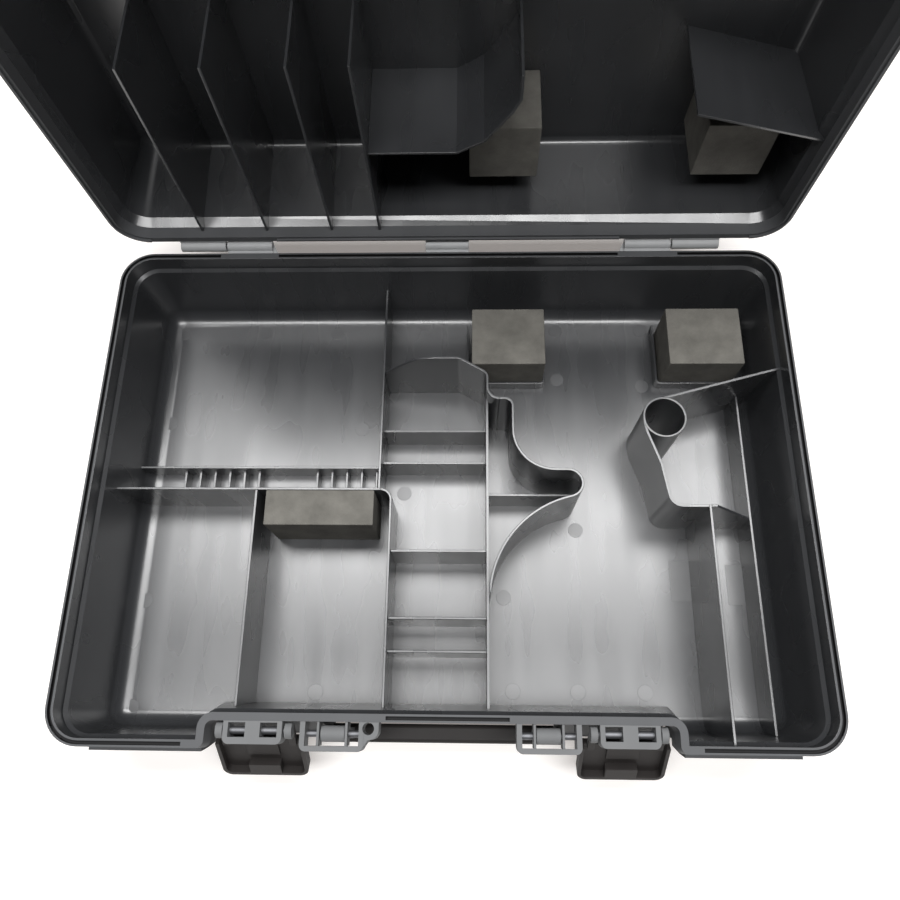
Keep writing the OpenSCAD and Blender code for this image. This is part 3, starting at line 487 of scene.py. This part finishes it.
class TOOLCASE_OT_marks(bpy.types.Operator):
    """Adds the faint marks that the mould's ejector pins leave on the tray floor"""
    bl_idname = "toolcase.marks"
    bl_label = "Floor marks"

    def execute(self, context):
        bm = bmesh.new()
        for x, y in EJECTOR_MARKS:
            lower = bmesh.ops.create_circle(
                bm, cap_ends=True, segments=40, radius=sizes().ejector_radius,
                matrix=Matrix.Translation((x * MM, y * MM, FLOOR_Z)))["verts"]
            top = bmesh.ops.extrude_face_region(bm, geom=list(lower[0].link_faces))["geom"]
            raised = [v for v in top if isinstance(v, bmesh.types.BMVert)]
            bmesh.ops.translate(bm, verts=raised, vec=(0, 0, EJECTOR_UP))
            rim = [e for e in bm.edges if all(v in raised for v in e.verts)]
            round_edges(bm, rim, EJECTOR_EDGE)
        for x, y, wide, deep in INSERT_MARKS:
            cube = bmesh.ops.create_cube(bm, size=1, matrix=Matrix.LocRotScale(
                (x * MM, y * MM, FLOOR_Z + INSERT_UP / 2), None,
                (wide * MM, deep * MM, INSERT_UP)))
            round_edges(bm, [e for e in bm.edges if e.verts[0] in cube["verts"]
                             and min(v.co.z for v in e.verts) > FLOOR_Z], INSERT_EDGE)
        bmesh.ops.recalc_face_normals(bm, faces=bm.faces)
        finish_piece(bm, "floor_marks", [], mark_plastic(), body=BODY_OF["base_shell"])
        return {"FINISHED"}


class TOOLCASE_OT_dividers(bpy.types.Operator):
    """Builds the tray's dividers with thin rounded tops"""
    bl_idname = "toolcase.dividers"
    bl_label = "Dividers"

    def execute(self, context):
        material = smooth_plastic()
        for node in DIVIDERS:
            softened(node, material, sizes().wall_edge)
        return {"FINISHED"}


class TOOLCASE_OT_fittings(bpy.types.Operator):
    """Builds the ears, their panels, the pockets, the boss and the knuckles on the tray"""
    bl_idname = "toolcase.fittings"
    bl_label = "Tray fittings"

    def execute(self, context):
        # Fittings and knuckles take paler plastics: painted light on their lit tops and barrels
        for nodes, material in (
            (TRAY_FITTINGS, fitting_plastic()),
            (TRAY_KNUCKLES, hinge_plastic()),
            (EAR_PANELS, grained_plastic()),
        ):
            for node in nodes:
                softened(node, material, sizes().shell_edge)
        return {"FINISHED"}


class TOOLCASE_OT_lid(bpy.types.Operator):
    """Builds the lid's shell and the parts moulded into it"""
    bl_idname = "toolcase.lid"
    bl_label = "Lid"

    def execute(self, context):
        shell_piece("lid_shell", "lid", PANEL_Y, (0, 1, 0), sizes().lid_fillet)
        for nodes, material in ((LID_KNUCKLES, hinge_plastic()), (LID_WALLS, smooth_plastic())):
            for node in nodes:
                softened(node, material, sizes().wall_edge)
        return {"FINISHED"}


class TOOLCASE_OT_foam(bpy.types.Operator):
    """Builds the foam pads"""
    bl_idname = "toolcase.foam"
    bl_label = "Foam pads"

    def execute(self, context):
        material = cut_foam()
        for node in FOAM_PADS:
            piece = softened(node, material, sizes().foam_edge)
        return {"FINISHED"}


class TOOLCASE_OT_latches(bpy.types.Operator):
    """Builds the two latch levers and the folding handle"""
    bl_idname = "toolcase.latches"
    bl_label = "Latches and handle"

    def execute(self, context):
        for node, joint, hub in (
            ("latch_left", "left_latch_turn", LEVER_HUB_HIGHLIGHT),
            ("latch_right", "right_latch_turn", LEVER_HUB_HIGHLIGHT),
            ("handle", "handle_turn", HANDLE_HUB_HIGHLIGHT),
        ):
            piece = softened(node, lever_plastic(), sizes().lever_edge, 3)
            # The faces round each pin take the paler fitting plastic: a painted highlight on the round
            # hubs
            piece.data.materials.append(fitting_plastic())
            _, y, z = JOINT_AT[joint]
            for face in piece.data.polygons:
                away = Vector((0, face.center.y - y, face.center.z - z))
                face.material_index = int(away.length < hub)
        return {"FINISHED"}


class TOOLCASE_OT_pins(bpy.types.Operator):
    """Gives the hinge, latch and handle pins their steel"""
    bl_idname = "toolcase.pins"
    bl_label = "Pins"

    def execute(self, context):
        material = drawn_steel()
        for node in PINS:
            mesh = NODES[node].data
            mesh.materials.clear()
            mesh.materials.append(material)
        return {"FINISHED"}


def photo_camera(scene):
    """The camera, at the place and turn that the photo was taken from."""
    data = bpy.data.cameras.new("camera")
    data.sensor_width = SENSOR_WIDTH
    data.lens = CAMERA_LENS
    data.clip_start = 10 * MM
    camera = bpy.data.objects.new("camera", data)
    camera.location = CAMERA_AT
    camera.rotation_euler = [math.radians(angle) for angle in CAMERA_TURN]
    scene.collection.objects.link(camera)
    scene.camera = camera


def white_table(scene):
    """A matt white table, lifted a little where the camera sees it, which keeps the shadow."""
    bm = bmesh.new()
    bmesh.ops.create_grid(bm, x_segments=1, y_segments=1, size=TABLE_HALF)
    mesh = bpy.data.meshes.new("table")
    bm.to_mesh(mesh)
    bm.free()
    table = bpy.data.objects.new("table", mesh)
    scene.collection.objects.link(table)
    material, tree = new_material("white_table")
    paper = add(tree, "ShaderNodeBsdfDiffuse", {"Color": linear("#f3f1ef")})
    seen = add(tree, "ShaderNodeLightPath")
    lift = add(tree, "ShaderNodeMath", {0: seen.outputs["Is Camera Ray"], 1: TABLE_LIFT},
               operation="MULTIPLY")
    glow = add(tree, "ShaderNodeEmission", {
        "Color": linear("#fff6f0"), "Strength": lift.outputs[0]})
    both = add(tree, "ShaderNodeAddShader", {0: paper.outputs[0], 1: glow.outputs[0]})
    add(tree, "ShaderNodeOutputMaterial", {"Surface": both.outputs[0]})
    mesh.materials.append(material)


def studio_world(scene):
    """White where the camera sees it, and otherwise a faint fill light."""
    world = bpy.data.worlds.new("studio")
    scene.world = world
    world.use_nodes = True
    tree = world.node_tree
    tree.nodes.clear()
    seen = add(tree, "ShaderNodeLightPath")
    plain = add(tree, "ShaderNodeMath", {
        0: seen.outputs["Is Camera Ray"], 1: seen.outputs["Is Transmission Ray"]},
        operation="MAXIMUM")
    level = add(tree, "ShaderNodeMapRange", {
        "Value": plain.outputs[0], "To Min": FILL_LIGHT, "To Max": 1.0})
    sky = add(tree, "ShaderNodeBackground", {"Strength": level.outputs["Result"]})
    add(tree, "ShaderNodeOutputWorld", {"Surface": sky.outputs[0]})


def ceiling_lamps(scene):
    """Wide soft lamps that point straight down."""
    for name, place, size, watts in LAMPS:
        data = bpy.data.lights.new(name, "AREA")
        data.shape = "RECTANGLE"
        data.size, data.size_y = size
        data.energy = watts
        lamp = bpy.data.objects.new(name, data)
        lamp.location = place
        scene.collection.objects.link(lamp)


class TOOLCASE_OT_stage(bpy.types.Operator):
    """Sets the white table, the soft lights and the camera"""
    bl_idname = "toolcase.stage"
    bl_label = "Stage, light and camera"

    def execute(self, context):
        scene = context.scene
        scene.view_settings.view_transform = "Standard"
        photo_camera(scene)
        white_table(scene)
        studio_world(scene)
        ceiling_lamps(scene)
        return {"FINISHED"}


class TOOLCASE_PT_panel(bpy.types.Panel):
    """Lists the sizes, the colours and the steps that build the tool case"""
    bl_idname = "TOOLCASE_PT_panel"
    bl_label = "Tool case"
    bl_space_type = "VIEW_3D"
    bl_region_type = "UI"
    bl_category = "Tool case"

    def draw(self, context):
        for kind, values in ((ToolCaseSizes, sizes()), (ToolCaseColours, colours())):
            for name in kind.__annotations__:
                self.layout.prop(values, name)
        for step in STEPS:
            self.layout.operator(step.bl_idname)


STEPS = (
    TOOLCASE_OT_stage, TOOLCASE_OT_tray, TOOLCASE_OT_marks, TOOLCASE_OT_dividers,
    TOOLCASE_OT_fittings, TOOLCASE_OT_lid, TOOLCASE_OT_foam, TOOLCASE_OT_latches,
    TOOLCASE_OT_pins,
)
CLASSES = (ToolCaseColours, ToolCaseSizes, *STEPS, TOOLCASE_PT_panel)


def register():
    """Makes the properties, the steps and the panel known."""
    for item in CLASSES:
        bpy.utils.register_class(item)
    bpy.types.Scene.tool_case_colours = bpy.props.PointerProperty(type=ToolCaseColours)
    bpy.types.Scene.tool_case_sizes = bpy.props.PointerProperty(type=ToolCaseSizes)


def unregister():
    """Takes them away again."""
    del bpy.types.Scene.tool_case_sizes
    del bpy.types.Scene.tool_case_colours
    for item in reversed(CLASSES):
        bpy.utils.unregister_class(item)


def main():
    """Builds the case step by step."""
    register()
    bpy.ops.toolcase.stage()
    bpy.ops.toolcase.tray()
    bpy.ops.toolcase.marks()
    bpy.ops.toolcase.dividers()
    bpy.ops.toolcase.fittings()
    bpy.ops.toolcase.lid()
    bpy.ops.toolcase.foam()
    bpy.ops.toolcase.latches()
    bpy.ops.toolcase.pins()


if __name__ == "__main__":
    main()
